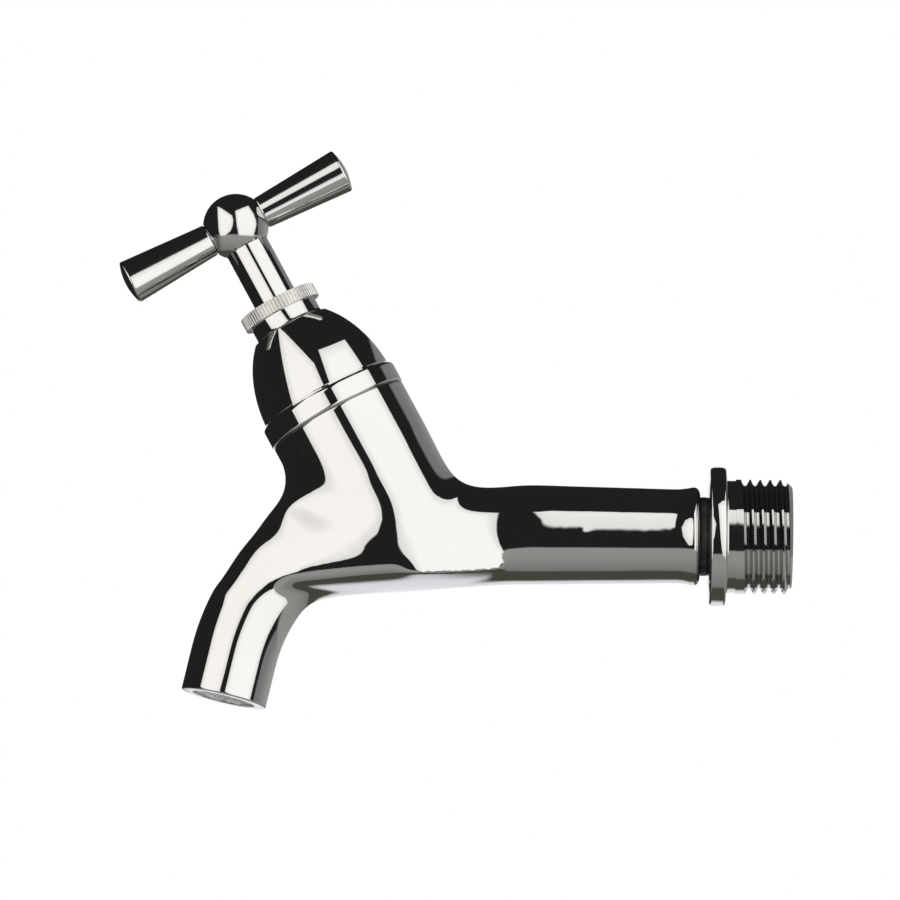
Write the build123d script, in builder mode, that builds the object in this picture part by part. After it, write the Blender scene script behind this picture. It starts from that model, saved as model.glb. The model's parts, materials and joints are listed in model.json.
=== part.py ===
from build123d import *

import os
from math import acos, asin, ceil, cos, pi, radians, sin, sqrt, tan

os.makedirs("parts", exist_ok=True)

# A chrome bib tap. All sizes are millimetres. The origin is the centre of the collar's back
# face, where the tap meets the wall. +X points into the wall, +Z is up, and the spout is at -X.
# The headwork leans away from the wall, so its pieces are placed by their height along its own
# axis, counted from the point where that axis crosses the axis of the inlet tube.

# Clearances
thread_clearance = 0.03
seat_clearance = 0.05
screw_clearance = 0.08
shaft_clearance = 0.06
end_gap = 0.4

# Inlet tail: a G 1/2 thread behind a round collar
inlet_thread_radius = 10.45
inlet_thread_pitch = 1.814
inlet_thread_depth = 1.1
inlet_thread_crest = 0.3
inlet_thread_overcut = 0.11
inlet_thread_start = 180.0
inlet_length = 12.0
inlet_plain_radius = 10.2
inlet_plain_length = 1.7
inlet_root_round = 0.35
inlet_bevel = 1.3
inlet_bore_radius = 7.4
inlet_bore_depth = 7.0
key_socket_width = 12.0
key_socket_depth = 5.5
collar_radius = 12.65
collar_thickness = 3.4
collar_crown = 0.5
collar_round = 0.5
collar_bulge = 0.15
neck_radius = 6.0
neck_length = 11.3
neck_bore_radius = 4.5
neck_groove = 0.45
neck_pitch = 1.25
tail_seal_width = 1.3
tail_seal_wall = 1.15
tail_seal_round = 0.25

# Body: a horizontal tube that swells into a leaning chamber and runs on into the spout
tube_end_radius = 8.6
tube_root_radius = 9.15
tube_length = 32.3
tube_round = 1.2
tube_flare = 0.8
tube_flare_length = 4.6
tube_bore_radius = 5.5
tube_bore_overrun = 5.0
body_length = 54.1
headwork_lean = 28.8
chamber_radius = 13.2
chamber_height = 24.6
chamber_bulb_height = 3.4
chamber_blend = 6.5
chamber_bore_radius = 9.5
chamber_floor = 10.4
chamber_shelf = 16.2
seat_height = 12.0
seat_bore_radius = 4.8
seat_lip = 1.3
spout_radius = 7.9
spout_fall = 36.0
spout_end_fall = 12.8
spout_knee_out = 28.6
spout_knee_down = 15.8
spout_bend_radius = 36.0
spout_end_length = 15.2
spout_round = 0.3
passage_radius = 4.6
passage_bend_radius = 15.0
passage_mouth_out = 13.3
passage_mouth_up = 12.1
passage_elbow_drop = 8.1
mouth_radius = 5.8
mouth_depth = 8.0

# The swelling between tube and spout: distance out from the headwork axis, drop of the centre
# below the tube's axis, fall of the flow from the vertical in degrees, and radius
swell_stations = [
    (-17.0, 0.27, 89.0, 9.03),
    (-11.8, 0.56, 88.0, 9.14),
    (-5.8, 0.67, 88.0, 9.4),
    (0.0, 0.75, 87.0, 9.6),
    (6.2, 1.3, 82.0, 9.7),
    (11.7, 1.95, 72.0, 9.85),
    (17.3, 3.05, 61.0, 10.07),
    (20.1, 5.15, 55.0, 8.95),
    (22.25, 7.35, 44.5, 8.2),
]

# Headwork: the screwed housing that carries the spindle
housing_thread_radius = 9.9
housing_thread_pitch = 1.8
housing_thread_groove = 0.7
skirt_wall = 1.7
housing_seal_thickness = 0.8
housing_flange_radius = 10.9
housing_flange_thickness = 1.0
housing_hex_width = 19.0
housing_hex_height = 4.4
housing_barrel_radius = 7.6
packing_chamber_radius = 5.9
packing_washer_thickness = 0.8
packing_thickness = 3.4
gland_shank_length = 1.8
gland_hex_width = 12.0
gland_hex_height = 2.4
gland_sleeve_radius = 5.2
gland_sleeve_length = 6.4

# Cover: a domed shell with a band at its foot, and the knurled nut that holds it
band_proud = 0.15
band_height = 3.9
band_round = 0.15
step_groove_depth = 0.45
step_groove_width = 0.35
dome_step = 0.75
dome_rise = 18.8
dome_centre = 2.9
dome_shoulder_radius = 7.3
cover_wall = 1.15
cover_neck_radius = 6.45
cover_neck_top = 21.2
dome_spans = 12
cover_nut_radius = 7.4
cover_nut_height = 2.4
cover_nut_web = 0.6
knurl_depth = 0.14
knurl_count = 72

# Valve: jumper, rubber washer and nut, lifted by the screw of the spindle
handle_turns = 2
screw_lead = 2.5
seat_washer_radius = 7.2
seat_washer_thickness = 3.4
jumper_plate_thickness = 2.2
jumper_rim_wall = 0.5
jumper_rim_depth = 2.0
jumper_pin_radius = 2.6
jumper_pin_length = 8.0
jumper_stud_radius = 2.0
jumper_stud_length = 2.6
washer_nut_width = 7.0
washer_nut_thickness = 2.2

# Spindle and handle
spindle_radius = 4.05
spindle_screw_radius = 5.0
spindle_screw_groove = 0.7
spindle_screw_engagement = 4.1
spindle_reach = 2.3
spindle_square = 5.6
spindle_edge = 0.3
hub_radius = 6.0
hub_height = 64.1
arm_root_radius = 3.0
arm_end_radius = 4.1
arm_reach = 21.9
arm_crown = 0.8
arm_round = 0.4
arm_seat = 5.15
arm_foot_round = 0.4
arm_stud_radius = 2.0
arm_stud_length = 1.8
arm_stud_pitch = 0.6
arm_stud_groove = 0.2
grub_radius = 2.0
grub_length = 2.6
grub_socket_width = 2.0
grub_socket_depth = 1.4

# Flow straightener in the mouth of the spout
straightener_length = 6.5
straightener_recess = 0.5
straightener_wall = 0.8
straightener_cell = 1.5
straightener_web = 0.35

# Radii of the cover, stepped out and in from the chamber that it stands on
band_radius = chamber_radius + band_proud
dome_radius = band_radius - dome_step

# Heights along the headwork axis that follow from the sizes above
valve_lift = handle_turns * screw_lead
plate_bottom = seat_height + seat_washer_thickness
plate_top = plate_bottom + jumper_plate_thickness
skirt_bottom = chamber_shelf + end_gap
bell_top = plate_top + valve_lift + seat_clearance + end_gap
screw_top = bell_top + spindle_screw_engagement
packing_floor = screw_top + valve_lift + end_gap
flange_bottom = chamber_height + housing_seal_thickness
packing_bottom = packing_floor + packing_washer_thickness
packing_top = packing_bottom + packing_thickness
barrel_top = packing_top + gland_shank_length
gland_hex_top = barrel_top + gland_hex_height
sleeve_top = gland_hex_top + gland_sleeve_length
band_top = chamber_height + band_height
dome_base = chamber_height + dome_centre
neck_top = chamber_height + cover_neck_top
hub_foot = hub_height - sqrt(hub_radius**2 - spindle_radius**2)
spindle_top = hub_height + spindle_reach

# Places along the inlet axis
tube_end = -collar_thickness - tail_seal_width
tube_root = tube_end - tube_length
crossing = tube_end - body_length

lean = radians(headwork_lean)
across = (cos(lean), 0, sin(lean))
upward = (-sin(lean), 0, cos(lean))
headwork = Plane(origin=(crossing, 0, 0), x_dir=across, z_dir=upward)
headwork_half = Plane(origin=(crossing, 0, 0), x_dir=across, z_dir=(0, -1, 0))
headwork_axis = Axis((crossing, 0, 0), upward)
handle_plane = Plane(origin=headwork.from_local_coords(Vector(0, 0, hub_height)),
                     x_dir=(0, 1, 0), z_dir=across)
handle_half = Plane(origin=handle_plane.origin, x_dir=across, z_dir=(0, -1, 0))
handle_axis = Axis(handle_plane.origin, across)


def falling(angle):
    """Direction of flow at an angle from straight down, towards the spout."""
    return Vector(-sin(radians(angle)), 0, -cos(radians(angle)))


def thread_points(radius, groove, pitch, start, end):
    """Half profile of a thread drawn as rings, each crest a third of a turn wide."""
    turns = max(1, round((end - start) / pitch))
    step = (end - start) / turns
    points = []
    for turn in range(turns):
        low = start + turn * step
        points.append((radius - groove, low))
        points.append((radius, low + step / 3))
        points.append((radius, low + step * 2 / 3))
    points.append((radius - groove, end))
    return points


def dome_points(radius, rise, low, narrow):
    """Half profile of a domed shell, from a height up to where it has narrowed to a radius."""
    first = asin((low - dome_base) / rise)
    last = acos(narrow / radius)
    angles = [first + (last - first) * span / dome_spans for span in range(dome_spans + 1)]
    return [(radius * cos(angle), dome_base + rise * sin(angle)) for angle in angles]


# Spout path: a straight fall from the chamber, one bend at the knee and a straight end
upper_fall = falling(spout_fall)
lower_fall = falling(spout_end_fall)
knee = Vector(crossing - spout_knee_out, 0, -spout_knee_down)
knee_run = spout_bend_radius * tan(radians(spout_fall - spout_end_fall) / 2)
bend_start = knee - upper_fall * knee_run
outlet = knee + lower_fall * spout_end_length
outlet_plane = Plane(origin=outlet, x_dir=(0, 1, 0), z_dir=lower_fall)
passage_mouth = Vector(crossing - passage_mouth_out, 0, passage_mouth_up)
passage_elbow = knee - upper_fall * (knee_run + passage_elbow_drop)

# Tap body: inlet tube, chamber and spout in one casting
with BuildPart() as tap_body:
    # Inlet tube, slightly tapered, with a flared end
    with BuildSketch(Plane.XZ):
        with BuildLine():
            flare_foot = (tube_end - tube_flare_length, tube_end_radius)
            flare_rim = (tube_end, tube_end_radius + tube_flare)
            TangentArc(flare_foot, flare_rim, tangent=(1, 0))
            Polyline(flare_rim, (tube_end, 0), (tube_root, 0), (tube_root, tube_root_radius),
                     flare_foot)
        make_face()
    revolve(axis=Axis.X)
    # Swelling under the headwork, down to the start of the spout's bend
    with BuildSketch(Plane(origin=(tube_root, 0, 0), x_dir=(0, 1, 0), z_dir=(-1, 0, 0))):
        Circle(tube_root_radius)
    for out, drop, fall, radius in swell_stations:
        with BuildSketch(Plane(origin=(crossing - out, 0, -drop), x_dir=(0, 1, 0),
                               z_dir=falling(fall))):
            Circle(radius)
    with BuildSketch(Plane(origin=bend_start, x_dir=(0, 1, 0), z_dir=upper_fall)):
        Circle(spout_radius)
    loft()
    # Leaning chamber with a round bottom
    with BuildSketch(headwork_half):
        with BuildLine():
            Line((0, chamber_height), (chamber_radius, chamber_height))
            Line((chamber_radius, chamber_height), (chamber_radius, chamber_bulb_height))
            CenterArc((0, chamber_bulb_height), chamber_radius, 0, -90)
            Line((0, chamber_bulb_height - chamber_radius), (0, chamber_height))
        make_face()
    revolve(axis=headwork_axis)
    chamber_faces = (tap_body.faces().filter_by(GeomType.CYLINDER)
                     + tap_body.faces().filter_by(GeomType.SPHERE))
    fillet(chamber_faces.edges().filter_by(GeomType.BSPLINE), radius=chamber_blend)
    # Spout from the bend to the outlet
    with BuildSketch(Plane(origin=bend_start, x_dir=(0, 1, 0), z_dir=upper_fall)):
        Circle(spout_radius)
    with BuildLine(Plane.XZ) as spout_line:
        bend = JernArc((bend_start.X, bend_start.Z), (upper_fall.X, upper_fall.Z),
                       spout_bend_radius, spout_fall - spout_end_fall)
        Line(bend @ 1, (outlet.X, outlet.Z))
    sweep(path=spout_line.line)
    # Rounded ends of the tube and the spout
    rims = tap_body.edges().filter_by(GeomType.CIRCLE)
    fillet(rims.sort_by(Axis.X)[-1], radius=tube_round)
    fillet(rims.sort_by(Axis.Z)[0], radius=spout_round)
    # Waterway of the tube and the socket for the tail's neck
    with BuildSketch(Plane(origin=(tube_end, 0, 0), x_dir=(0, 1, 0), z_dir=(-1, 0, 0))):
        Circle(tube_bore_radius)
    extrude(amount=body_length + tube_bore_overrun, mode=Mode.SUBTRACT)
    with BuildSketch(Plane(origin=(tube_end, 0, 0), x_dir=(0, 1, 0), z_dir=(-1, 0, 0))):
        Circle(neck_radius + thread_clearance)
    extrude(amount=neck_length - tail_seal_width + seat_clearance, mode=Mode.SUBTRACT)
    # Valve seat: a bore up to a raised lip on the chamber's floor
    with BuildSketch(headwork):
        Circle(seat_bore_radius)
    extrude(amount=seat_height, mode=Mode.SUBTRACT)
    with BuildSketch(headwork.offset(chamber_floor)):
        Circle(chamber_bore_radius)
        Circle(seat_bore_radius + seat_lip, mode=Mode.SUBTRACT)
    extrude(amount=seat_height - chamber_floor, mode=Mode.SUBTRACT)
    with BuildSketch(headwork.offset(seat_height)):
        Circle(chamber_bore_radius)
    extrude(amount=chamber_height - seat_height, mode=Mode.SUBTRACT)
    with BuildSketch(headwork.offset(chamber_shelf)):
        Circle(housing_thread_radius + thread_clearance)
    extrude(amount=chamber_height - chamber_shelf, mode=Mode.SUBTRACT)
    # Waterway of the spout and the socket in its mouth
    with BuildLine() as passage_line:
        FilletPolyline(passage_mouth, passage_elbow, knee, outlet,
                       radius=[passage_bend_radius, spout_bend_radius])
    with BuildSketch(Plane(origin=passage_line.line @ 0, x_dir=(0, 1, 0),
                           z_dir=passage_line.line % 0)):
        Circle(passage_radius)
    sweep(path=passage_line.line, mode=Mode.SUBTRACT)
    with BuildSketch(outlet_plane):
        Circle(mouth_radius)
    extrude(amount=-mouth_depth, mode=Mode.SUBTRACT)

# Inlet tail: collar, screwed neck in front and pipe thread behind
with BuildPart() as inlet_tail:
    with BuildSketch(Plane.XZ) as tail_profile:
        with BuildLine():
            neck_end = -collar_thickness - neck_length
            crown_foot = neck_radius + tail_seal_wall + seat_clearance
            Polyline((neck_end, 0),
                     *[(place, height) for height, place in
                       thread_points(neck_radius, neck_groove, neck_pitch, neck_end, tube_end)],
                     (tube_end, neck_radius), (-collar_thickness, neck_radius),
                     (-collar_thickness, crown_foot))
            rim_radius = collar_radius - collar_bulge
            crown = TangentArc((-collar_thickness, crown_foot),
                               (collar_crown - collar_thickness, rim_radius), tangent=(0, 1))
            ThreePointArc(crown @ 1, ((collar_crown - collar_thickness) / 2, collar_radius),
                          (0, rim_radius))
            Polyline((0, rim_radius), (0, inlet_plain_radius),
                     (inlet_plain_length, inlet_plain_radius),
                     (inlet_plain_length, inlet_thread_radius),
                     (inlet_length - inlet_bevel, inlet_thread_radius),
                     (inlet_length, inlet_thread_radius - inlet_bevel),
                     (inlet_length, 0), (neck_end, 0))
        make_face()
        rim_corners = tail_profile.vertices().group_by(Axis.Y)[-1]
        fillet(rim_corners, radius=collar_round)
        # The round at the spigot's root keeps the collar's back face clear of the thread
        spigot_root = tail_profile.vertices().sort_by_distance((0, inlet_plain_radius))[0]
        fillet(spigot_root, radius=inlet_root_round)
    revolve(axis=Axis.X)
    # Waterway, key socket and wider bore behind it
    with BuildSketch(Plane.YZ.offset(neck_end)):
        Circle(neck_bore_radius)
    extrude(amount=inlet_length - neck_end, mode=Mode.SUBTRACT)
    with BuildSketch(Plane.YZ.offset(inlet_length)):
        Circle(inlet_bore_radius)
    extrude(amount=-inlet_bore_depth, mode=Mode.SUBTRACT)
    with BuildSketch(Plane.YZ.offset(inlet_length - inlet_bore_depth)):
        RegularPolygon(key_socket_width / 2, 6, major_radius=False)
    extrude(amount=-key_socket_depth, mode=Mode.SUBTRACT)
    # Pipe thread: a V groove wound round the spigot turn by turn, open at its end
    groove_mouth = (inlet_thread_pitch - inlet_thread_crest) / 2
    groove_root = inlet_thread_crest / 2
    groove_slope = (groove_mouth - groove_root) / inlet_thread_depth
    groove_begin = inlet_plain_length + groove_mouth
    for turn in range(ceil((inlet_length - groove_begin) / inlet_thread_pitch)):
        with BuildLine() as groove_line:
            wind = Helix(inlet_thread_pitch, inlet_thread_pitch, inlet_thread_radius,
                         center=(groove_begin + turn * inlet_thread_pitch, 0, 0),
                         direction=(1, 0, 0), mode=Mode.PRIVATE)
            add(wind.rotate(Axis.X, inlet_thread_start))
        groove_start = groove_line.line @ 0
        groove_out = Vector(0, groove_start.Y, groove_start.Z).normalized()
        with BuildSketch(Plane(origin=groove_start, x_dir=groove_out,
                               z_dir=groove_line.line % 0)):
            Polygon((-inlet_thread_depth, -groove_root),
                    (inlet_thread_overcut, -groove_mouth - groove_slope * inlet_thread_overcut),
                    (inlet_thread_overcut, groove_mouth + groove_slope * inlet_thread_overcut),
                    (-inlet_thread_depth, groove_root), align=None)
        sweep(path=groove_line.line, is_frenet=True, mode=Mode.SUBTRACT)

# Rubber seal squeezed between the collar and the tube
with BuildPart() as tail_seal:
    with BuildSketch(Plane.YZ.offset(tube_end)):
        Circle(neck_radius + tail_seal_wall)
        Circle(neck_radius + seat_clearance, mode=Mode.SUBTRACT)
    extrude(amount=tail_seal_width)
    seal_rims = tail_seal.edges().filter_by(GeomType.CIRCLE).group_by(SortBy.RADIUS)[-1]
    fillet(seal_rims, radius=tail_seal_round)

# Headwork housing: skirt, flange, hexagon and barrel with the packing chamber
with BuildPart() as headwork_housing:
    with BuildSketch(headwork_half):
        with BuildLine():
            Polyline((0, skirt_bottom),
                     *thread_points(housing_thread_radius, housing_thread_groove,
                                    housing_thread_pitch, skirt_bottom, chamber_height),
                     (housing_thread_radius, chamber_height),
                     (housing_thread_radius, flange_bottom),
                     (housing_flange_radius, flange_bottom),
                     (housing_flange_radius, flange_bottom + housing_flange_thickness),
                     (housing_barrel_radius, flange_bottom + housing_flange_thickness),
                     (housing_barrel_radius, barrel_top), (0, barrel_top), close=True)
        make_face()
    revolve(axis=headwork_axis)
    with BuildSketch(headwork.offset(flange_bottom + housing_flange_thickness)):
        RegularPolygon(housing_hex_width / 2, 6, major_radius=False)
    extrude(amount=housing_hex_height)
    with BuildSketch(headwork.offset(skirt_bottom)):
        Circle(housing_thread_radius - skirt_wall)
    extrude(amount=bell_top - skirt_bottom, mode=Mode.SUBTRACT)
    with BuildSketch(headwork.offset(bell_top)):
        Circle(spindle_screw_radius + screw_clearance)
    extrude(amount=packing_floor - bell_top, mode=Mode.SUBTRACT)
    with BuildSketch(headwork.offset(packing_floor)):
        Circle(packing_chamber_radius)
    extrude(amount=barrel_top - packing_floor, mode=Mode.SUBTRACT)

# Fibre washer under the housing's flange
with BuildPart() as headwork_seal:
    with BuildSketch(headwork.offset(chamber_height)):
        Circle(housing_flange_radius)
        Circle(housing_thread_radius + seat_clearance, mode=Mode.SUBTRACT)
    extrude(amount=housing_seal_thickness)

# Brass washer below the packing
with BuildPart() as packing_washer:
    with BuildSketch(headwork.offset(packing_floor)):
        Circle(packing_chamber_radius - seat_clearance)
        Circle(spindle_radius + screw_clearance, mode=Mode.SUBTRACT)
    extrude(amount=packing_washer_thickness)

# Gland packing pressed round the spindle
with BuildPart() as gland_packing:
    with BuildSketch(headwork.offset(packing_bottom)):
        Circle(packing_chamber_radius - seat_clearance)
        Circle(spindle_radius + shaft_clearance, mode=Mode.SUBTRACT)
    extrude(amount=packing_thickness)

# Gland nut: screwed shank, hexagon and the sleeve that carries the cover
with BuildPart() as gland_nut:
    with BuildSketch(headwork_half):
        with BuildLine():
            shank_radius = packing_chamber_radius - thread_clearance
            Polyline((0, packing_top), (shank_radius, packing_top), (shank_radius, barrel_top),
                     (gland_sleeve_radius, barrel_top), (gland_sleeve_radius, sleeve_top),
                     (0, sleeve_top), close=True)
        make_face()
    revolve(axis=headwork_axis)
    with BuildSketch(headwork.offset(barrel_top)):
        RegularPolygon(gland_hex_width / 2, 6, major_radius=False)
    extrude(amount=gland_hex_height)
    with BuildSketch(headwork.offset(packing_top)):
        Circle(spindle_radius + screw_clearance)
    extrude(amount=sleeve_top - packing_top, mode=Mode.SUBTRACT)

# Cover: band, dome and neck in one turned shell
with BuildPart() as bonnet_cover:
    with BuildSketch(headwork_half) as cover_profile:
        groove_top = band_top + step_groove_width
        groove_radius = dome_radius - step_groove_depth
        inner_radius = dome_radius - cover_wall
        inner_rise = dome_rise - cover_wall
        neck_bore_limit = gland_sleeve_radius + seat_clearance
        outer_dome = dome_points(dome_radius, dome_rise, groove_top, dome_shoulder_radius)
        inner_dome = dome_points(inner_radius, inner_rise, dome_base, neck_bore_limit)
        with BuildLine():
            Polyline((inner_radius, dome_base), (inner_radius, chamber_height),
                     (band_radius, chamber_height), (band_radius, band_top),
                     (groove_radius, band_top), (groove_radius, groove_top), outer_dome[0])
            Spline(*outer_dome)
            Polyline(outer_dome[-1], (cover_neck_radius, outer_dome[-1][1]),
                     (cover_neck_radius, neck_top),
                     (neck_bore_limit, neck_top), inner_dome[-1])
            Spline(*inner_dome)
        make_face()
        fillet(cover_profile.vertices().group_by(Axis.X)[-1], radius=band_round)
    revolve(axis=headwork_axis)

# Knurled nut on top of the cover
with BuildPart() as cover_nut:
    with BuildSketch(headwork.offset(neck_top)):
        Circle(cover_nut_radius - knurl_depth)
        with PolarLocations(cover_nut_radius - knurl_depth, knurl_count):
            knurl_base = 2 * pi * cover_nut_radius / knurl_count
            Polygon((-knurl_depth, -knurl_base / 2), (-knurl_depth, knurl_base / 2),
                    (knurl_depth, 0), align=None)
    extrude(amount=cover_nut_height)
    with BuildSketch(headwork.offset(neck_top)):
        Circle(gland_sleeve_radius + thread_clearance)
    extrude(amount=cover_nut_height - cover_nut_web, mode=Mode.SUBTRACT)
    with BuildSketch(headwork.offset(neck_top)):
        Circle(spindle_radius + screw_clearance)
    extrude(amount=cover_nut_height, mode=Mode.SUBTRACT)

# Jumper: rimmed plate, guide pin above and threaded stud below
with BuildPart() as jumper:
    with BuildSketch(headwork.offset(plate_bottom)):
        Circle(seat_washer_radius + seat_clearance + jumper_rim_wall)
    extrude(amount=jumper_plate_thickness)
    with BuildSketch(headwork.offset(plate_bottom)):
        Circle(seat_washer_radius + seat_clearance + jumper_rim_wall)
        Circle(seat_washer_radius + seat_clearance, mode=Mode.SUBTRACT)
    extrude(amount=-jumper_rim_depth)
    with BuildSketch(headwork.offset(plate_top)):
        Circle(jumper_pin_radius)
    extrude(amount=jumper_pin_length)
    with BuildSketch(headwork.offset(plate_bottom)):
        Circle(jumper_stud_radius)
    extrude(amount=-seat_washer_thickness - jumper_stud_length)

# Rubber washer that closes on the seat
with BuildPart() as seat_washer:
    with BuildSketch(headwork.offset(seat_height)):
        Circle(seat_washer_radius)
        Circle(jumper_stud_radius + thread_clearance, mode=Mode.SUBTRACT)
    extrude(amount=seat_washer_thickness)

# Nut that holds the rubber washer
with BuildPart() as washer_nut:
    with BuildSketch(headwork.offset(seat_height)):
        RegularPolygon(washer_nut_width / 2, 6, major_radius=False)
        Circle(jumper_stud_radius + thread_clearance, mode=Mode.SUBTRACT)
    extrude(amount=-washer_nut_thickness)

# Spindle: screw at the foot, plain shank and a square for the handle
with BuildPart() as spindle:
    with BuildSketch(headwork_half):
        with BuildLine():
            Polyline((0, plate_top),
                     *thread_points(spindle_screw_radius, spindle_screw_groove, screw_lead / 2,
                                    plate_top, screw_top),
                     (spindle_radius, screw_top), (spindle_radius, hub_foot), (0, hub_foot),
                     close=True)
        make_face()
    revolve(axis=headwork_axis)
    with BuildSketch(headwork.offset(hub_foot)):
        Rectangle(spindle_square, spindle_square)
    extrude(amount=spindle_top - hub_foot)
    chamfer(spindle.faces().sort_by(headwork_axis)[-1].edges(), length=spindle_edge)
    with BuildSketch(headwork.offset(plate_top)):
        Circle(jumper_pin_radius + shaft_clearance)
    extrude(amount=jumper_pin_length + end_gap, mode=Mode.SUBTRACT)

# Handle hub: a ball with two flats for the arms, bored for the spindle and the grub screw
with BuildPart() as handle_hub:
    with Locations(headwork.offset(hub_height)):
        Sphere(hub_radius)
    with BuildSketch(headwork.offset(hub_height - hub_radius)):
        Circle(spindle_radius + seat_clearance)
    extrude(amount=hub_foot + seat_clearance - hub_height + hub_radius, mode=Mode.SUBTRACT)
    with BuildSketch(headwork.offset(hub_foot)):
        Rectangle(spindle_square + 2 * seat_clearance, spindle_square + 2 * seat_clearance)
    extrude(amount=spindle_top + seat_clearance - hub_foot, mode=Mode.SUBTRACT)
    for side in (1, -1):
        with BuildSketch(handle_plane.offset(side * arm_seat)):
            Circle(hub_radius)
        extrude(amount=side * hub_radius, mode=Mode.SUBTRACT)
        with BuildSketch(handle_plane.offset(side * arm_seat)):
            Circle(arm_stud_radius + thread_clearance)
        extrude(amount=-side * (arm_stud_length + seat_clearance), mode=Mode.SUBTRACT)
    with BuildSketch(Plane(origin=handle_plane.origin, x_dir=across, z_dir=(0, 1, 0))):
        Circle(grub_radius + thread_clearance)
    extrude(amount=hub_radius, mode=Mode.SUBTRACT)

# Handle arms: tapered bars with a domed end, screwed into the ball by a stud
with BuildPart() as handle_arm_right:
    with BuildSketch(handle_half) as arm_profile:
        with BuildLine():
            stud_end = arm_seat - arm_stud_length
            Polyline((stud_end, 0),
                     *[(place, height) for height, place in
                       thread_points(arm_stud_radius, arm_stud_groove, arm_stud_pitch,
                                     stud_end, arm_seat)],
                     (arm_seat, arm_root_radius), (arm_reach, arm_end_radius))
            TangentArc((arm_reach + arm_crown, 0), (arm_reach, arm_end_radius), tangent=(0, 1))
            Line((arm_reach + arm_crown, 0), (stud_end, 0))
        make_face()
        fillet(arm_profile.vertices().group_by(Axis.Y)[-1], radius=arm_round)
        foot_corner = arm_profile.vertices().sort_by_distance((arm_seat, arm_root_radius))[0]
        fillet(foot_corner, radius=arm_foot_round)
    revolve(axis=handle_axis)

with BuildPart() as handle_arm_left:
    mirror(handle_arm_right.part, about=handle_plane)

# Grub screw behind the hub, tight against the spindle's square
with BuildPart() as handle_grub_screw:
    with BuildSketch(Plane(origin=handle_plane.origin, x_dir=across,
                           z_dir=(0, 1, 0)).offset(spindle_square / 2)):
        Circle(grub_radius)
    extrude(amount=grub_length)
    with BuildSketch(Plane(origin=handle_plane.origin, x_dir=across,
                           z_dir=(0, 1, 0)).offset(spindle_square / 2 + grub_length)):
        RegularPolygon(grub_socket_width / 2, 6, major_radius=False)
    extrude(amount=-grub_socket_depth, mode=Mode.SUBTRACT)

# Flow straightener: a ring filled with hexagonal cells
with BuildPart() as flow_straightener:
    straightener_face = outlet_plane.offset(-straightener_recess)
    with BuildSketch(straightener_face):
        Circle(mouth_radius - seat_clearance)
        cell_pitch = straightener_cell + straightener_web
        cell_limit = mouth_radius - straightener_wall - straightener_cell / 2
        cell_count = 2 * round(mouth_radius / cell_pitch) + 1
        cells = [spot for spot in HexLocations(cell_pitch / 2, cell_count, cell_count).local_locations
                 if spot.position.length < cell_limit]
        with Locations(*cells):
            RegularPolygon(straightener_cell / 2, 6, major_radius=False, mode=Mode.SUBTRACT)
    extrude(amount=-straightener_length)

pieces = {
    "tap_body": tap_body,
    "inlet_tail": inlet_tail,
    "tail_seal": tail_seal,
    "headwork_housing": headwork_housing,
    "headwork_seal": headwork_seal,
    "packing_washer": packing_washer,
    "gland_packing": gland_packing,
    "gland_nut": gland_nut,
    "bonnet_cover": bonnet_cover,
    "cover_nut": cover_nut,
    "jumper": jumper,
    "seat_washer": seat_washer,
    "washer_nut": washer_nut,
    "spindle": spindle,
    "handle_hub": handle_hub,
    "handle_arm_left": handle_arm_left,
    "handle_arm_right": handle_arm_right,
    "handle_grub_screw": handle_grub_screw,
    "flow_straightener": flow_straightener,
}
for name, piece in pieces.items():
    piece.part.label = name
    export_step(piece.part, f"parts/{name}.step")
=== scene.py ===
import json
from math import acos, asin, cos, radians, sin, sqrt

import bpy
from mathutils import Matrix, Vector

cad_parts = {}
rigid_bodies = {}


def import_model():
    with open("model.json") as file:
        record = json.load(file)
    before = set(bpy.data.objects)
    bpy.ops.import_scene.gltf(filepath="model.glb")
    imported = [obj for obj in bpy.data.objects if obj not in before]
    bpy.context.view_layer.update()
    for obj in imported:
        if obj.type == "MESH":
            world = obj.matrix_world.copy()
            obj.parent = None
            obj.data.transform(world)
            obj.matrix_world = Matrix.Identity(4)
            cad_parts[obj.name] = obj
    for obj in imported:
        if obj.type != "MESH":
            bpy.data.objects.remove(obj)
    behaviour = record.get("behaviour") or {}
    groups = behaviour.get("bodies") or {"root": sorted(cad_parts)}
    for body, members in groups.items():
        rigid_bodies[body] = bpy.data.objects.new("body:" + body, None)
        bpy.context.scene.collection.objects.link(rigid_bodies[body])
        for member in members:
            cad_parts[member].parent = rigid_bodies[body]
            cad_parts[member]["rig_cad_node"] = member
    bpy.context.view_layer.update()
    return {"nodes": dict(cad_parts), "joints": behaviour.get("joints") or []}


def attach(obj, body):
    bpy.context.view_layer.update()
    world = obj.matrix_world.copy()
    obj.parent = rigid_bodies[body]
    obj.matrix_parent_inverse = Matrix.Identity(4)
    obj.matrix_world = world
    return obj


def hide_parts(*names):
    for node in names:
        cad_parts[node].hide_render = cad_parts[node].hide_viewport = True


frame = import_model()
nodes = frame["nodes"]
joints = {joint["name"]: joint for joint in frame["joints"]}

# A chrome bib tap, seen from the side and a little below. Places are in the frame of the packed
# model: the origin is the centre of the collar's back face, +X points into the wall, +Z is up and
# the spout is at -X. Sizes named below are millimetres.
MM = 0.001

# Camera: a long lens 1.9 m away, looking up at the tap. Distances here are metres
view_rise = radians(8.5)
view_roll = radians(0.6)
view_distance = 1.9
view_aim = Vector((-50.2, 0, 15.4)) * MM
view_width = 163.6 * MM
sensor_width = 36.0
clip_start = 0.05
clip_end = 20
to_camera = Vector((0, -cos(view_rise), -sin(view_rise)))
view_right = Vector((1, 0, 0))
view_up = Vector((0, -sin(view_rise), cos(view_rise)))

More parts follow.
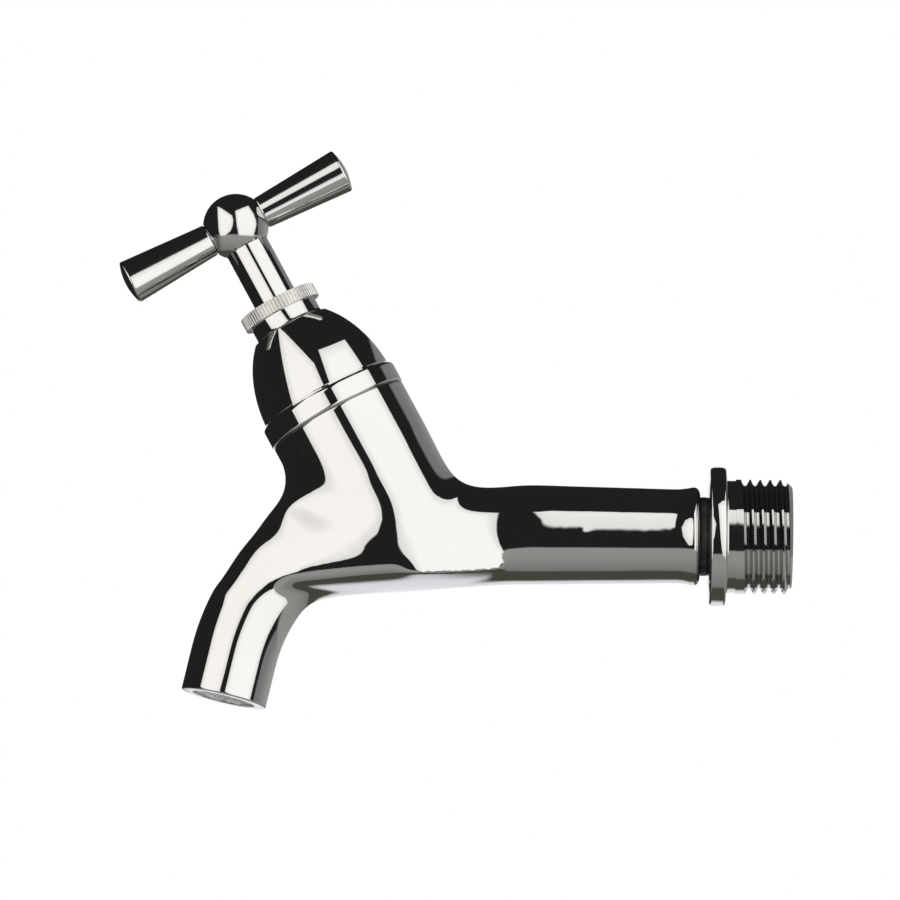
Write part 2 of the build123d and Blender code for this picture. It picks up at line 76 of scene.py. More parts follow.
# Studio as a mirror ball in the camera's view shows it: right and up run from -1 to 1 across the
# ball. Two white panels stand in front, and their corners run clockwise
LEFT_PANEL = [(-0.56, 0.60), (-0.45, 0.55), (-0.115, 0.33), (-0.07, 0.19), (-0.09, 0.0),
              (-0.16, -0.16), (-0.33, -0.29), (-0.46, -0.29), (-0.515, -0.12), (-0.53, 0.15)]
RIGHT_PANEL = [(-0.03, 0.46), (0.37, 0.64), (0.54, 0.39), (0.615, 0.2), (0.63, 0.05),
               (0.60, -0.10), (0.55, -0.29), (0.08, -0.27), (0.045, 0.0), (-0.01, 0.27)]
panel_edge = 0.005
panel_shading = 0.09
panel_dimmest = 0.80
left_panel_light = (1.38, 1.355, 1.30, 1.0)
right_panel_light = (1.40, 1.395, 1.375, 1.0)
dark_room = (0.020, 0.020, 0.021, 1.0)
grey_room = (0.40, 0.395, 0.385, 1.0)
far_room = (0.085, 0.083, 0.066, 1.0)
pale_ground = (0.93, 0.95, 1.0, 1.0)
white = (1.0, 1.0, 1.0, 1.0)

# Zones of the room round the panels, each with the two places between which it comes in, from the
# middle outwards. Grey lies below the panels and to the right of them, and pale ground at the edge
grey_below = (0.225, 0.265)
grey_from_left = (-0.66, -0.36)
grey_aside = (0.665, 0.70)
grey_aside_share = 0.62
grey_edge = (0.72, 1.0)
grey_edge_share = 0.5
dusk_below = (0.35, 0.75)
dusk_share = 0.35
far_below = (0.70, 0.75)
ground_below = (0.90, 0.95)

# How straight a ray has to run on away from the camera to reach the white background
background_behind = (0.975, 0.985)

# Floor and lamps: distances in metres, and each lamp's place and watts
floor_drop = 0.45
floor_size = 8.0
floor_colour = (0.8, 0.8, 0.8, 1.0)
floor_white = 0.62
floor_mottle = 3.0
LAMPS = {"front_lamp": ((-0.9, -1.6, 0.9), 18.0), "side_lamp": ((1.3, -1.2, 0.9), 13.0),
         "back_lamp": ((0.0, 1.5, 1.4), 15.0)}
lamp_size = 1.2

chrome_bright = (0.665, 0.662, 0.655, 1.0)
chrome_dull = (0.645, 0.64, 0.63, 1.0)

# Headwork axis: it crosses the inlet's axis here and leans away from the wall
crossing = Vector((-58.8, 0, 0)) * MM
headwork_up = Vector(joints["valve_lift"]["axis"]).normalized()

# Tap body, with heights counted from the crossing, the tube's end or the outlet
chamber_top = 24.6
chamber_radius = 13.2
chamber_cut = 21.6
chamber_rim_round = 0.45
housing_bore = 9.93
lower_bore = 9.5
chamber_shelf = 16.2
chamber_floor = 10.4
seat_height = 12.0
seat_radius = 4.8
seat_lip_radius = 6.1
seat_bore_end = 5.2
tube_end = Vector((-4.7, 0, 0)) * MM
tube_way = Vector((1, 0, 0))
tube_radius = 8.6
flare_length = 4.6
flare_arc = 13.625
flare_swing = 13.17
tube_round = 1.2
tube_round_centre = 7.796
neck_bore = 6.03
neck_depth = 10.05
tube_bore = 5.5
tube_bore_depth = 30.0
outlet = Vector((-90.7675, 0, -30.6223)) * MM
outlet_way = Vector((-0.2215, 0, -0.9751)).normalized()
spout_radius = 7.9
spout_cut = 3.0
spout_round = 0.35
mouth_radius = 5.8
mouth_depth = 8.0
passage_radius = 4.6
passage_depth = 13.0
skin_voxel = 0.33
skin_overrun = 8.0
loop_merge = 0.15
edge_support = 0.12
flare_steps = 6
tube_rim_steps = 9
chamber_rim_steps = 6
spout_rim_steps = 5
skin_smoothing = 60
blend_smoothing = 450
blend_gain = 2
smoothing_factor = 0.5
smooth_angle = 30

# Planes that cut the casting's skin off: a point of each and the way out
TUBE_CUT = (tube_end - tube_way * flare_length * MM, tube_way)
HEADWORK_CUT = (crossing + headwork_up * chamber_cut * MM, headwork_up)
OUTLET_CUT = (outlet - outlet_way * spout_cut * MM, outlet_way)

# How closely points have to agree: to be cut or merged, or to lie on a plane or the keel's corners
cut_exactness = 0.0001
same_point = 0.001
same_turned_point = 0.005
plane_match = 0.01
corner_match = 0.3

# Web under the headwork. One side of its section runs up from the keel's middle, as shares of its
# half width and half height, and its third point is the corner between flank and underside
WEB_SECTION = [(0, -1.0), (0.44, -0.96), (0.88, -0.83), (0.955, -0.42), (0.985, 0),
               (0.925, 0.40), (0.71, 0.72), (0.38, 0.93), (0, 1.0)]
corner_number = 2
corner_reach = 3.2
corner_top = -4.0
corner_smoothing = 0.06
web_levels = 3
circle_match = 0.01

# Its stations from tube to spout: centre out and up from the crossing, fall of the flow from the
# vertical in degrees, half height and half width
WEB_STATIONS = [(20.0, -0.2, 90.0, 8.2, 8.2), (16.3, -0.6, 90.0, 8.4, 8.9),
                (12.6, -1.0, 89.0, 8.5, 9.9), (8.8, -1.2, 88.0, 8.75, 11.2),
                (4.6, -1.0, 88.0, 9.3, 12.5), (0.0, -0.75, 87.0, 9.85, 13.1),
                (-6.2, -1.3, 82.0, 9.95, 12.9), (-11.7, -1.95, 72.0, 10.1, 12.0),
                (-17.3, -3.05, 61.0, 10.3, 10.9), (-20.1, -5.15, 55.0, 9.7, 10.1),
                (-22.6, -7.5, 46.0, 9.0, 9.3), (-24.7, -10.2, 37.0, 8.3, 8.4),
                (-26.4, -13.4, 28.0, 7.5, 7.5)]

# Places where the skin is worked smoother still, on both flanks: x, y, z and reach
BLENDS = [(-47.5, 5.0, 9.5, 13.0), (-77.0, 6.5, 5.0, 14.0), (-84.5, 5.0, -4.0, 11.0),
          (-60.0, 12.0, 0.0, 10.0), (-72.0, 10.0, -1.0, 11.0), (-44.5, 7.0, 6.0, 12.0)]

# Domed cover, with heights above the crossing along the headwork axis
cover_foot = 24.6
cover_band_radius = 13.34
cover_band_top = 28.5
cover_band_round = 0.65
cover_foot_round = 0.4
cover_inner_radius = 11.45
groove_radius = 12.1
groove_top = 28.9
cover_foot_steps = 6
cover_brow_steps = 8
dome_radius = 12.6
dome_rise = 18.8
dome_base = 27.5
dome_wall = 1.15
dome_shoulder = 7.4
dome_steps = 22
cover_neck_radius = 6.45
cover_neck_round = 0.8
cover_neck_top = 45.8
cover_neck_bore = 5.25
cover_neck_steps = 6
turned_steps = 180

# Sockets of a mix node that blends colours
mix_share, mix_first, mix_second, mix_result = 0, 6, 7, 2


class Value:
    """An output in a shader's tree that Python arithmetic can use."""

    def __init__(self, shader, socket):
        self.shader = shader
        self.socket = socket

    def math(self, operation, *values):
        return self.shader.node("ShaderNodeMath", {"operation": operation}, values)

    def __add__(self, other):
        return self.math("ADD", self, other)

    def __sub__(self, other):
        return self.math("SUBTRACT", self, other)

    def __rsub__(self, other):
        return self.math("SUBTRACT", other, self)

    def __mul__(self, other):
        return self.math("MULTIPLY", self, other)

    __radd__ = __add__
    __rmul__ = __mul__

    def least(self, other):
        return self.math("MINIMUM", self, other)

    def most(self, other):
        return self.math("MAXIMUM", self, other)

    def rise(self, low, high):
        """0 below low, 1 above high and a smooth rise between them."""
        return self.shader.node("ShaderNodeMapRange", {"interpolation_type": "SMOOTHSTEP"},
                                [self, low, high, 0.0, 1.0])


class Shader:
    """A material's or the world's tree, written one node at a time."""

    def __init__(self, owner):
        owner.use_nodes = True
        self.tree = owner.node_tree
        self.tree.nodes.clear()

    def node(self, kind, settings=None, inputs=(), output=0):
        made = self.tree.nodes.new(kind)
        for name, value in (settings or {}).items():
            setattr(made, name, value)
        named = inputs.items() if isinstance(inputs, dict) else enumerate(inputs)
        for key, value in named:
            if isinstance(value, Value):
                self.tree.links.new(value.socket, made.inputs[key])
            else:
                made.inputs[key].default_value = value
        return Value(self, made.outputs[output]) if len(made.outputs) else None

    def mix(self, share, first, second):
        """Blend of two colours."""
        return self.node("ShaderNodeMix", {"data_type": "RGBA"},
                         {mix_share: share, mix_first: first, mix_second: second}, mix_result)

    def vector(self, operation, *values, output=0):
        return self.node("ShaderNodeVectorMath", {"operation": operation}, values, output)

    def place(self, stretch=(1, 1, 1), turn=(0, 0, 0), start=(0, 0, 0)):
        """A point of the piece in metres, in a frame of its own that is stretched afterwards."""
        point = self.node("ShaderNodeTexCoord", output="Object")
        return self.node("ShaderNodeMapping", {"vector_type": "TEXTURE"},
                         {"Vector": point, "Location": start, "Rotation": turn,
                          "Scale": stretch})

    def noise(self, place, scale, detail=2.0, roughness=0.5):
        return self.node("ShaderNodeTexNoise", {},
                         {"Vector": place, "Scale": scale, "Detail": detail,
                          "Roughness": roughness})

    def bump(self, height, distance, normal=None):
        inputs = {"Strength": 1.0, "Distance": distance * MM, "Height": height}
        if normal:
            inputs["Normal"] = normal
        return self.node("ShaderNodeBump", {}, inputs)

    def seen(self):
        """1 for what the camera sees, also in metal or through glass."""
        return (self.node("ShaderNodeLightPath", output="Is Camera Ray")
                .most(self.node("ShaderNodeLightPath", output="Is Glossy Ray"))
                .most(self.node("ShaderNodeLightPath", output="Is Transmission Ray")))

    def surface(self, **inputs):
        """Closes a material with a Principled surface; socket names use _ for a space."""
        named = {name.replace("_", " "): value for name, value in inputs.items()}
        shaded = self.node("ShaderNodeBsdfPrincipled", {}, named)
        self.node("ShaderNodeOutputMaterial", {}, [shaded])


def new_material(name):
    material = bpy.data.materials.new(name)
    return material, Shader(material)


def deselect():
    if bpy.context.object and bpy.context.object.mode != "OBJECT":
        bpy.ops.object.mode_set(mode="OBJECT")
    bpy.ops.object.select_all(action="DESELECT")


def take(piece):
    """Makes a piece the only selected and active object."""
    deselect()
    piece.select_set(True)
    bpy.context.view_layer.objects.active = piece


def pick(piece, test, kind="polygons"):
    """Selects the faces, edges or vertices of a piece that pass a test, and stays in edit mode."""
    take(piece)
    for part in (piece.data.vertices, piece.data.edges, piece.data.polygons):
        part.foreach_set("select", [False] * len(part))
    for item in getattr(piece.data, kind):
        item.select = bool(test(item))
    bpy.ops.object.mode_set(mode="EDIT")
    bpy.ops.mesh.select_mode(type={"polygons": "FACE", "edges": "EDGE", "vertices": "VERT"}[kind])


def work(piece, kind, **settings):
    """Adds a modifier to a piece and applies it."""
    take(piece)
    modifier = piece.modifiers.new(kind.lower(), kind)
    for name, value in settings.items():
        setattr(modifier, name, value)
    bpy.ops.object.modifier_apply(modifier=modifier.name)


def arc(centre, radius, start, end, steps):
    """Stations on an arc from one angle to another in degrees, 0 being straight outwards."""
    angles = [radians(start + (end - start) * step / steps) for step in range(steps + 1)]
    return [(centre[0] + radius * sin(angle), centre[1] + radius * cos(angle)) for angle in angles]


def draw_rings(centre, way, stations):
    """Extrudes the selected loop ring by ring. A station is a height above the centre and a radius,
    and the loop lies at the first of them."""
    height, radius = stations[0]
    for next_height, next_radius in stations[1:]:
        step = way * (next_height - height) * MM
        bpy.ops.mesh.extrude_region_move(TRANSFORM_OT_translate={"value": step})
        size = next_radius / radius
        bpy.ops.transform.resize(value=(size, size, size),
                                 center_override=centre + way * next_height * MM)
        height, radius = next_height, next_radius


def settle(piece, name, body, node):
    """Shades a finished piece, names it and puts it in a CAD node's stead."""
    take(piece)
    bpy.ops.object.shade_smooth_by_angle(angle=radians(smooth_angle))
    piece.name = name
    piece.data.name = name
    piece.data.materials.clear()
    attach(piece, body)
    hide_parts(node)
    return piece


def build_camera():
    bpy.ops.object.camera_add(location=view_aim + to_camera * view_distance)
    camera = bpy.context.object
    camera.name = "camera"
    facing = Matrix((view_right, view_up, to_camera)).transposed()
    camera.rotation_euler = (Matrix.Rotation(view_roll, 3, to_camera) @ facing).to_euler()
    camera.data.sensor_width = sensor_width
    camera.data.lens = sensor_width * view_distance / view_width
    camera.data.clip_start = clip_start
    camera.data.clip_end = clip_end
    bpy.context.scene.camera = camera


def inside_panel(right, up, corners):
    """Depth of a point of the mirror ball inside a convex panel, whose corners run clockwise."""
    depth = None
    for (ax, ay), (bx, by) in zip(corners, corners[1:] + corners[:1]):
        run = sqrt((bx - ax) ** 2 + (by - ay) ** 2)
        beyond = (right - ax) * ((by - ay) / run) - (up - ay) * ((bx - ax) / run)
        depth = beyond if depth is None else depth.least(beyond)
    return depth


def build_studio():
    world = bpy.data.worlds.new("studio")
    bpy.context.scene.world = world
    shader = Shader(world)
    ray = shader.node("ShaderNodeTexCoord")
    ball = shader.vector("NORMALIZE", shader.vector("ADD", ray, to_camera))
    right = shader.vector("DOT_PRODUCT", ball, view_right, output="Value")
    up = shader.vector("DOT_PRODUCT", ball, view_up, output="Value")
    down = 0 - up

    # The room, then the panels in front of it
    below = down.rise(*grey_below) * right.rise(*grey_from_left)
    aside = right.rise(*grey_aside) * grey_aside_share + right.rise(*grey_edge) * grey_edge_share
    colour = shader.mix(below.most(aside), dark_room, grey_room)
    colour = shader.mix(down.rise(*dusk_below) * dusk_share, colour, dark_room)
    colour = shader.mix(down.rise(*far_below), colour, far_room)
    colour = shader.mix(down.rise(*ground_below), colour, pale_ground)
    for corners, light in ((LEFT_PANEL, left_panel_light), (RIGHT_PANEL, right_panel_light)):
        depth = inside_panel(right, up, corners)
        shade = panel_dimmest + depth.rise(0.0, panel_shading) * (1 - panel_dimmest)
        lit = shader.mix(shade, dark_room, light)
        colour = shader.mix(depth.rise(-panel_edge, panel_edge), colour, lit)

    # The white background is what the camera sees, and what metal shows of it at its very edge
    behind = 0 - shader.vector("DOT_PRODUCT", ray, to_camera, output="Value")
    direct = shader.node("ShaderNodeLightPath", output="Is Camera Ray")
    seen = direct.most(shader.seen() * behind.rise(*background_behind))
    colour = shader.mix(seen, colour, white)
    light = shader.node("ShaderNodeBackground", {}, [colour, 1.0])
    shader.node("ShaderNodeOutputWorld", {}, [light])


def build_floor():
    """Pale floor well below the tap, clear from underneath so that it hides nothing."""
    deselect()
    bpy.ops.mesh.primitive_plane_add(size=floor_size, location=(0, 0, -floor_drop))
    floor = bpy.context.object
    floor.name = "floor"
    material, shader = new_material("pale_floor")
    mottle = shader.noise(shader.place(), floor_mottle)
    lit = shader.node("ShaderNodeBsdfPrincipled", {},
                      {"Base Color": floor_colour, "Roughness": 0.85 + mottle * 0.1})
    plain = shader.node("ShaderNodeEmission", {}, [white, 1.0])
    blend = shader.node("ShaderNodeMixShader", {}, [shader.seen() * floor_white, lit, plain])
    clear = shader.node("ShaderNodeBsdfTransparent")
    underneath = shader.node("ShaderNodeNewGeometry", output="Backfacing")
    shader.node("ShaderNodeOutputMaterial", {},
                [shader.node("ShaderNodeMixShader", {}, [underneath, blend, clear])])
    floor.data.materials.append(material)
    floor.visible_glossy = False


def build_lamps():
    for name, (place, power) in LAMPS.items():
        bpy.ops.object.light_add(type="AREA", location=place)
        lamp = bpy.context.object
        lamp.name = name
        lamp.data.size = lamp_size
        lamp.data.energy = power
        lamp.rotation_euler = (view_aim - Vector(place)).to_track_quat("-Z", "Y").to_euler()
        lamp.visible_glossy = False


def build_web():
    """The full flanks and the keel that carry the chamber over into tube and spout."""
    count = 2 * (len(WEB_SECTION) - 1)
    deselect()
    bpy.ops.mesh.primitive_circle_add(vertices=count, radius=1, fill_type="NGON",
                                      rotation=(radians(90), 0, radians(90)))
    web = bpy.context.object
    bpy.ops.object.transform_apply(location=False, rotation=True, scale=False)
    for number, (side, height) in enumerate(WEB_SECTION):
        angle = radians(360 * number / count)
        round_side, round_height = sin(angle), -cos(angle)
        pick(web, lambda point: abs(abs(point.co.y) - round_side) < circle_match
             and abs(point.co.z - round_height) < circle_match, "vertices")
        wider = side / round_side if side else 1
        taller = height / round_height if height else 1
        bpy.ops.transform.resize(value=(1, wider, taller), center_override=(0, 0, 0))
    out, up, fall, tall, wide = WEB_STATIONS[0]
    centre = crossing + Vector((out, 0, up)) * MM
    pick(web, lambda face: True)
    bpy.ops.transform.resize(value=(1, wide * MM, tall * MM), center_override=(0, 0, 0))
    bpy.ops.transform.translate(value=centre)
    for out, up, next_fall, next_tall, next_wide in WEB_STATIONS[1:]:
        place = crossing + Vector((out, 0, up)) * MM
        bpy.ops.mesh.extrude_region_move(TRANSFORM_OT_translate={"value": place - centre})
        bpy.ops.transform.rotate(value=radians(next_fall - fall), orient_axis="Y",
                                 center_override=place)
        size = next_tall / tall
        bpy.ops.transform.resize(value=(size, next_wide / wide, size), center_override=place)
        centre, fall, tall, wide = place, next_fall, next_tall, next_wide
    bpy.ops.mesh.select_all(action="SELECT")
    bpy.ops.mesh.normals_make_consistent(inside=False)
    corners = web_corners()
    pick(web, lambda edge: all(nearest(web.data.vertices[end].co, corners) < corner_match * MM
                               for end in edge.vertices), "edges")
    bpy.ops.transform.edge_crease(value=1.0)
    bpy.ops.object.mode_set(mode="OBJECT")
    work(web, "SUBSURF", levels=web_levels, render_levels=web_levels)
    return web


def web_corners():
    """The near and far corner line of the keel, one point for each station."""
    side, height = WEB_SECTION[corner_number]
    lines = []
    for mirror in (-1, 1):
        line = []
        for out, up, fall, tall, wide in WEB_STATIONS:
            lean = radians(90 - fall)
            centre = crossing + Vector((out, 0, up)) * MM
            line.append(centre + Vector((-sin(lean) * tall * height, mirror * side * wide,
                                         cos(lean) * tall * height)) * MM)
        lines.append(line)
    return lines


def nearest(point, lines):
    """Distance from a point to the nearest of some lines of points."""
    found = []
    for line in lines:
        for start, end in zip(line, line[1:]):
            run = end - start
            share = max(0.0, min(1.0, (point - start).dot(run) / run.length_squared))
            found.append((point - start - run * share).length)
    return min(found)


def weigh(piece, name, weight):
    """Gives a piece a vertex group whose weight follows each point's place."""
    group = piece.vertex_groups.new(name=name)
    for point in piece.data.vertices:
        share = weight(point.co)
        if share > 0:
            group.add([point.index], min(1.0, share), "REPLACE")


def cut_off(piece, place, way):
    """Cuts a piece off at a plane and selects the open loop."""
    pick(piece, lambda face: True)
    bpy.ops.mesh.bisect(plane_co=place, plane_no=way, clear_outer=True,
                        threshold=cut_exactness * MM)
    bpy.ops.mesh.select_mode(type="EDGE")
    bpy.ops.mesh.select_all(action="DESELECT")
    bpy.ops.mesh.select_non_manifold(use_wire=False, use_multi_face=False,
                                     use_non_contiguous=False, use_verts=False)


def outer_skin():
    """A copy of the casting's outer skin. Its three ends run on straight and are closed."""
    take(nodes["tap_body"])
    bpy.ops.object.duplicate()
    body = bpy.context.object
    body.parent = None
    del body["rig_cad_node"]
    pick(body, lambda face: True)
    bpy.ops.mesh.remove_doubles(threshold=same_point * MM)
    bpy.ops.mesh.customdata_custom_splitnormals_clear()
    cuts = (TUBE_CUT, HEADWORK_CUT, OUTLET_CUT)
    for place, way in cuts:
        cut_off(body, place, way)
    bpy.ops.object.mode_set(mode="OBJECT")

    # The bores have come loose, and only what hangs together with the widest point stays
    widest = max(body.data.vertices, key=lambda point: point.co.y).index
    pick(body, lambda point: point.index == widest, "vertices")
    bpy.ops.mesh.select_linked()
    bpy.ops.mesh.select_all(action="INVERT")
    bpy.ops.mesh.delete(type="VERT")
    for place, way in cuts:
        pick(body, lambda edge: all(abs((body.data.vertices[end].co - place).dot(way))
                                    < plane_match * MM for end in edge.vertices), "edges")
        bpy.ops.mesh.extrude_region_move(
            TRANSFORM_OT_translate={"value": way * skin_overrun * MM})
        bpy.ops.mesh.edge_face_add()
    return body


def smooth_skin(body):
    """Smooths the skin, most at the blends and least along the keel's corners."""
    centres = [(Vector((x, side * y, z)) * MM, reach * MM)
               for x, y, z, reach in BLENDS for side in (-1, 1)]
    corners = web_corners()

    def corner_share(place):
        if place.z > corner_top * MM:
            return 1.0
        return max(corner_smoothing, nearest(place, corners) / (corner_reach * MM))

    weigh(body, "blend", lambda place: corner_share(place) * blend_gain * max(
        1 - (place - centre).length / reach for centre, reach in centres))
    weigh(body, "skin", corner_share)
    for group, times in (("blend", blend_smoothing), ("skin", skin_smoothing)):
        work(body, "SMOOTH", factor=smoothing_factor, iterations=times, vertex_group=group)
    body.vertex_groups.clear()


def turn_end(body, cut, centre, stations):
    """Cuts an end back to clean skin, and turns it to size with its bore."""
    place, way = cut
    cut_off(body, place, way)
    bpy.ops.mesh.remove_doubles(threshold=loop_merge * MM)
    draw_rings(centre, way, stations)
    bpy.ops.mesh.edge_face_add()


def build_body():
    """The casting: its outer skin and the web in one smooth surface, with turned ends."""
    body = outer_skin()
    web = build_web()
    deselect()
    web.select_set(True)
    body.select_set(True)
    bpy.context.view_layer.objects.active = body
    bpy.ops.object.join()
    work(body, "REMESH", mode="VOXEL", voxel_size=skin_voxel * MM)
    smooth_skin(body)

    flare = arc((-flare_length, tube_radius + flare_arc), -flare_arc, 0, -flare_swing,
                flare_steps)
    rim = arc((-tube_round, tube_round_centre), tube_round, -flare_swing, 90, tube_rim_steps)
    turn_end(body, TUBE_CUT, tube_end,
             [(-flare_length, tube_radius)] + flare[1:] + rim[1:]
             + [(0, neck_bore), (-neck_depth, neck_bore),
                (-neck_depth, tube_bore), (-tube_bore_depth, tube_bore)])
    rim = arc((chamber_top - chamber_rim_round, chamber_radius - chamber_rim_round),
              chamber_rim_round, 0, 90, chamber_rim_steps)
    turn_end(body, HEADWORK_CUT, crossing,
             [(chamber_cut, chamber_radius), (rim[0][0] - edge_support, chamber_radius)] + rim
             + [(chamber_top, housing_bore), (chamber_shelf, housing_bore),
                (chamber_shelf, lower_bore), (chamber_floor, lower_bore),
                (chamber_floor, seat_lip_radius), (seat_height, seat_lip_radius),
                (seat_height, seat_radius), (seat_bore_end, seat_radius)])
    rim = arc((-spout_round, spout_radius - spout_round), spout_round, 0, 90, spout_rim_steps)
    turn_end(body, OUTLET_CUT, outlet,
             [(-spout_cut, spout_radius), (rim[0][0] - edge_support, spout_radius)] + rim
             + [(0, mouth_radius), (-mouth_depth, mouth_radius),
                (-mouth_depth, passage_radius), (-passage_depth, passage_radius)])
    return settle(body, "cast_body", "tap", "tap_body")


def turn(stations):
    """A closed shape turned round the headwork axis from stations that end where they began."""
    height, radius = stations[0]
    facing = headwork_up.to_track_quat("Z", "Y").to_euler()
    deselect()
    bpy.ops.mesh.primitive_circle_add(vertices=turned_steps, radius=radius * MM, rotation=facing,
                                      location=crossing + headwork_up * height * MM)
    piece = bpy.context.object
    bpy.ops.object.transform_apply(location=True, rotation=True, scale=True)
    bpy.ops.object.mode_set(mode="EDIT")
    bpy.ops.mesh.select_mode(type="EDGE")
    bpy.ops.mesh.select_all(action="SELECT")
    draw_rings(crossing, headwork_up, stations + stations[:1])
    bpy.ops.mesh.select_all(action="SELECT")
    bpy.ops.mesh.remove_doubles(threshold=same_turned_point * MM)
    bpy.ops.mesh.normals_make_consistent(inside=False)
    bpy.ops.object.mode_set(mode="OBJECT")
    return piece


def dome_line(radius, rise, start, end):
    """Stations on the elliptical dome between two angles in radians."""
    angles = [start + (end - start) * step / dome_steps for step in range(dome_steps + 1)]
    return [(dome_base + rise * sin(angle), radius * cos(angle)) for angle in angles]


def build_cover():
    """Band, dome and neck in one turned shell, with softly rounded edges."""
    foot = arc((cover_foot + cover_foot_round, cover_band_radius - cover_foot_round),
               cover_foot_round, -90, 0, cover_foot_steps)
    brow = arc((cover_band_top - cover_band_round, cover_band_radius - cover_band_round),
               cover_band_round, 0, 90, cover_brow_steps)
    band = [(foot[-1][0] + edge_support, cover_band_radius),
            (brow[0][0] - edge_support, cover_band_radius)]
    dome = dome_line(dome_radius, dome_rise, asin((groove_top - dome_base) / dome_rise),
                     acos(dome_shoulder / dome_radius))
    neck_foot = arc((dome[-1][0] + cover_neck_round, cover_neck_radius + cover_neck_round),
                    -cover_neck_round, 90, 0, cover_neck_steps)
    inner_radius = dome_radius - dome_wall
    hollow = dome_line(inner_radius, dome_rise - dome_wall, acos(cover_neck_bore / inner_radius), 0)
    stations = ([(cover_foot, cover_inner_radius)] + foot + band + brow
                + [(cover_band_top, groove_radius), (groove_top, groove_radius)] + dome
                + neck_foot + [(cover_neck_top, cover_neck_radius),
                               (cover_neck_top, cover_neck_bore)] + hollow)
    return settle(turn(stations), "domed_cover", "tap", "bonnet_cover")


def round_axis(shader, long=60):
    """Points for lines that run round the headwork axis, as a lathe leaves them."""
    turned = headwork_up.to_track_quat("Z", "Y").to_euler()
    return shader.place((long, long, 1), tuple(turned), tuple(crossing))


def chrome(name, waviness, grain, polish, lathe=False):
    """Polished chrome plate: faint waves under the shine, wiping marks and hairline scratches."""
    material, shader = new_material(name)
    wave = shader.noise(shader.place(), scale=120.0, detail=1.0)
    smear = shader.noise(shader.place(), scale=55.0, detail=4.0, roughness=0.6)
    hairs = shader.noise(round_axis(shader) if lathe else shader.place(stretch=(14, 1, 3)),
                         scale=2600.0)
    tint = shader.mix(smear.rise(0.38, 0.68), chrome_bright, chrome_dull)
    roughness = polish + smear.rise(0.48, 0.78) * 0.03 + hairs.rise(0.58, 0.8) * 0.02
    normal = shader.bump(hairs, grain, shader.bump(wave, waviness))
    shader.surface(Base_Color=tint, Metallic=1.0, Roughness=roughness, Normal=normal)
    return material


def satin_nickel():
    """Nickel on the knurled nut: satin, with lathe lines and greyer patches in its grooves."""
    material, shader = new_material("satin_nickel")
    lines = shader.noise(round_axis(shader), scale=3200.0)
    cloud = shader.noise(shader.place(), scale=420.0, detail=4.0, roughness=0.6)
    bright, grey = (0.78, 0.77, 0.74, 1), (0.68, 0.67, 0.64, 1)
    colour = shader.mix(cloud.rise(0.35, 0.7), bright, grey)
    roughness = 0.36 + cloud * 0.12 + lines * 0.06
    shader.surface(Base_Color=colour, Metallic=1.0, Roughness=roughness,
                   Normal=shader.bump(lines, distance=0.012))
    return material


def machined_brass():
    """Bare brass inside the tap: lathe lines, bright edges and a brown tarnish in patches."""
    material, shader = new_material("machined_brass")
    lines = shader.noise(round_axis(shader), scale=2400.0, detail=3.0)
    tarnish = shader.noise(shader.place(), scale=260.0, detail=5.0, roughness=0.62).rise(0.42, 0.72)
    edge = shader.node("ShaderNodeNewGeometry", output="Pointiness").rise(0.52, 0.60)
    clean, brown, rubbed = (0.76, 0.55, 0.25, 1), (0.44, 0.28, 0.12, 1), (0.86, 0.67, 0.36, 1)
    colour = shader.mix(tarnish, clean, brown)
    colour = shader.mix(edge * 0.7, colour, rubbed)
    roughness = 0.20 + tarnish * 0.22 + lines * 0.10
    shader.surface(Base_Color=colour, Metallic=1.0, Roughness=roughness,
                   Normal=shader.bump(lines, distance=0.02))
    return material


def black_rubber():
    """Seals: moulded rubber with a chalky bloom and a fine grain."""
    material, shader = new_material("black_rubber")
    bloom = shader.noise(shader.place(), scale=350.0, detail=5.0, roughness=0.65).rise(0.45, 0.8)
    grain = shader.noise(shader.place(), scale=5200.0)
    black, chalky = (0.012, 0.012, 0.013, 1), (0.055, 0.054, 0.052, 1)
    colour = shader.mix(bloom, black, chalky)
    shader.surface(Base_Color=colour, Roughness=0.52 + bloom * 0.28,
                   Normal=shader.bump(grain, distance=0.02))
    return material


def red_fibre():
    """Vulcanised fibre washer: layered fibres, darker where it is soaked."""
    material, shader = new_material("red_fibre")
    fibres = shader.noise(round_axis(shader, long=18), scale=2800.0, detail=4.0, roughness=0.7)
    soaked = shader.noise(shader.place(), scale=300.0, detail=3.0).rise(0.4, 0.7)
    dry, wet, fluffed = (0.34, 0.055, 0.030, 1), (0.16, 0.025, 0.016, 1), (0.46, 0.16, 0.10, 1)
    colour = shader.mix(soaked, dry, wet)
    colour = shader.mix(fibres.rise(0.5, 0.8) * 0.5, colour, fluffed)
    shader.surface(Base_Color=colour, Roughness=0.55 + fibres * 0.25,
                   Normal=shader.bump(fibres, distance=0.04))
    return material


def graphite_packing():
    """Greased graphite yarn, pressed into a ring."""
    material, shader = new_material("graphite_packing")
    yarn = shader.node("ShaderNodeTexWave", {"bands_direction": "DIAGONAL"},
                       {"Vector": shader.place(), "Scale": 420.0, "Distortion": 5.0,
                        "Detail": 3.0}, output="Fac")
    fluff = shader.noise(shader.place(), scale=3600.0, detail=3.0)
    black, shiny = (0.018, 0.018, 0.020, 1), (0.11, 0.11, 0.115, 1)
    colour = shader.mix(yarn * 0.7 + fluff * 0.3, black, shiny)
    shader.surface(Base_Color=colour, Roughness=0.38 + fluff * 0.3,
                   Normal=shader.bump(yarn, distance=0.08))
    return material


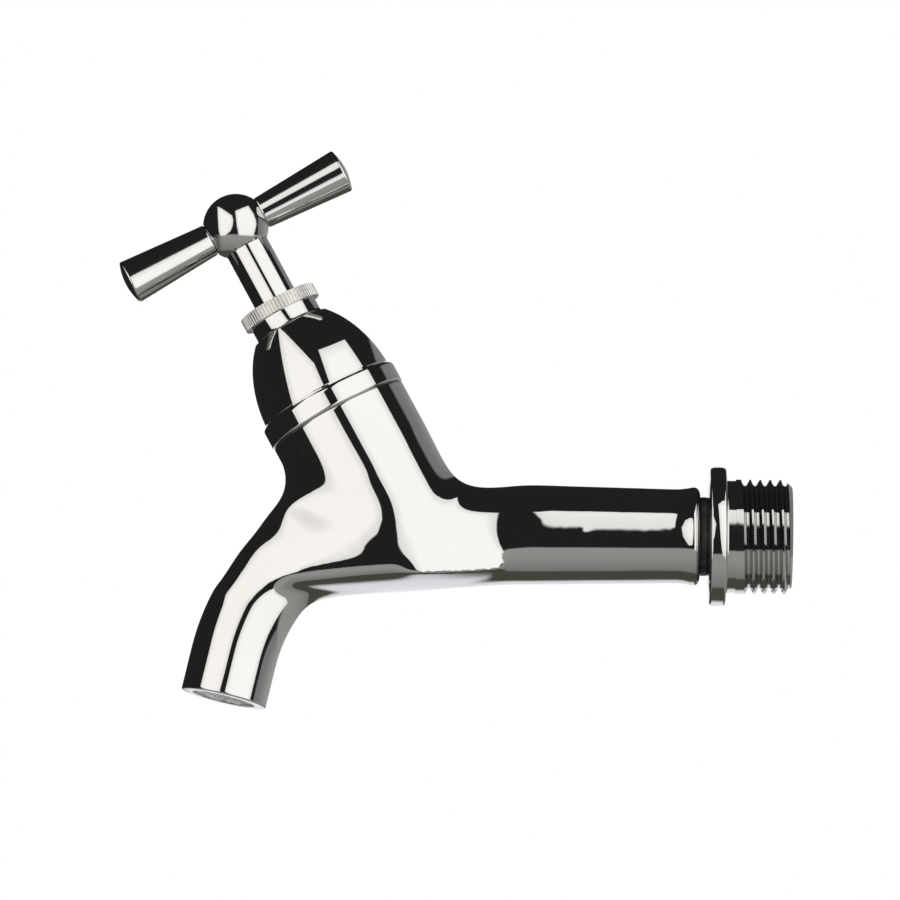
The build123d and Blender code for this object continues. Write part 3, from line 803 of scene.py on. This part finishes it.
def blackened_steel():
    """Grub screw: oiled black oxide, worn to bare steel on its edges."""
    material, shader = new_material("blackened_steel")
    cloud = shader.noise(shader.place(), scale=900.0, detail=4.0, roughness=0.6)
    worn = shader.node("ShaderNodeNewGeometry", output="Pointiness").rise(0.53, 0.62)
    oiled, dry, bare = (0.035, 0.036, 0.040, 1), (0.085, 0.080, 0.075, 1), (0.42, 0.41, 0.40, 1)
    colour = shader.mix(cloud.rise(0.4, 0.7), oiled, dry)
    colour = shader.mix(worn, colour, bare)
    shader.surface(Base_Color=colour, Metallic=0.9, Roughness=0.30 + cloud * 0.2,
                   Normal=shader.bump(cloud, distance=0.02))
    return material


def straightener_plastic():
    """Grey moulded flow straightener in the spout's mouth, streaked by scale."""
    material, shader = new_material("straightener_plastic")
    streaks = shader.noise(shader.place(stretch=(1, 1, 9)), scale=420.0, detail=3.0)
    scaled = shader.noise(shader.place(), scale=260.0, detail=4.0, roughness=0.6).rise(0.52, 0.75)
    dark, light, limed = (0.52, 0.52, 0.525, 1), (0.66, 0.66, 0.665, 1), (0.74, 0.73, 0.71, 1)
    colour = shader.mix(streaks.rise(0.35, 0.7), dark, light)
    colour = shader.mix(scaled * 0.6, colour, limed)
    shader.surface(Base_Color=colour, Roughness=0.38 + scaled * 0.3,
                   Normal=shader.bump(streaks, distance=0.02))
    return material


deselect()
build_camera()
build_studio()
build_floor()
build_lamps()

cast_chrome = chrome("cast_chrome", waviness=0.014, grain=0.0012, polish=0.018)
turned_chrome = chrome("turned_chrome", waviness=0.006, grain=0.0012, polish=0.018, lathe=True)
handle_chrome = chrome("handle_chrome", waviness=0.008, grain=0.0012, polish=0.07)
brass = machined_brass()
rubber = black_rubber()
FINISHES = {"tap_body": cast_chrome, "inlet_tail": turned_chrome, "tail_seal": rubber,
            "headwork_housing": brass, "headwork_seal": red_fibre(), "packing_washer": brass,
            "gland_packing": graphite_packing(), "gland_nut": brass,
            "bonnet_cover": turned_chrome, "cover_nut": satin_nickel(),
            "flow_straightener": straightener_plastic(), "jumper": brass,
            "seat_washer": rubber, "washer_nut": brass, "spindle": turned_chrome,
            "handle_hub": handle_chrome, "handle_grub_screw": blackened_steel(),
            "handle_arm_left": handle_chrome, "handle_arm_right": handle_chrome}
for name, node in nodes.items():
    for slot in node.material_slots:
        slot.material = FINISHES[name]
build_body().data.materials.append(cast_chrome)
build_cover().data.materials.append(turned_chrome)

bpy.context.scene.view_settings.view_transform = "Standard"
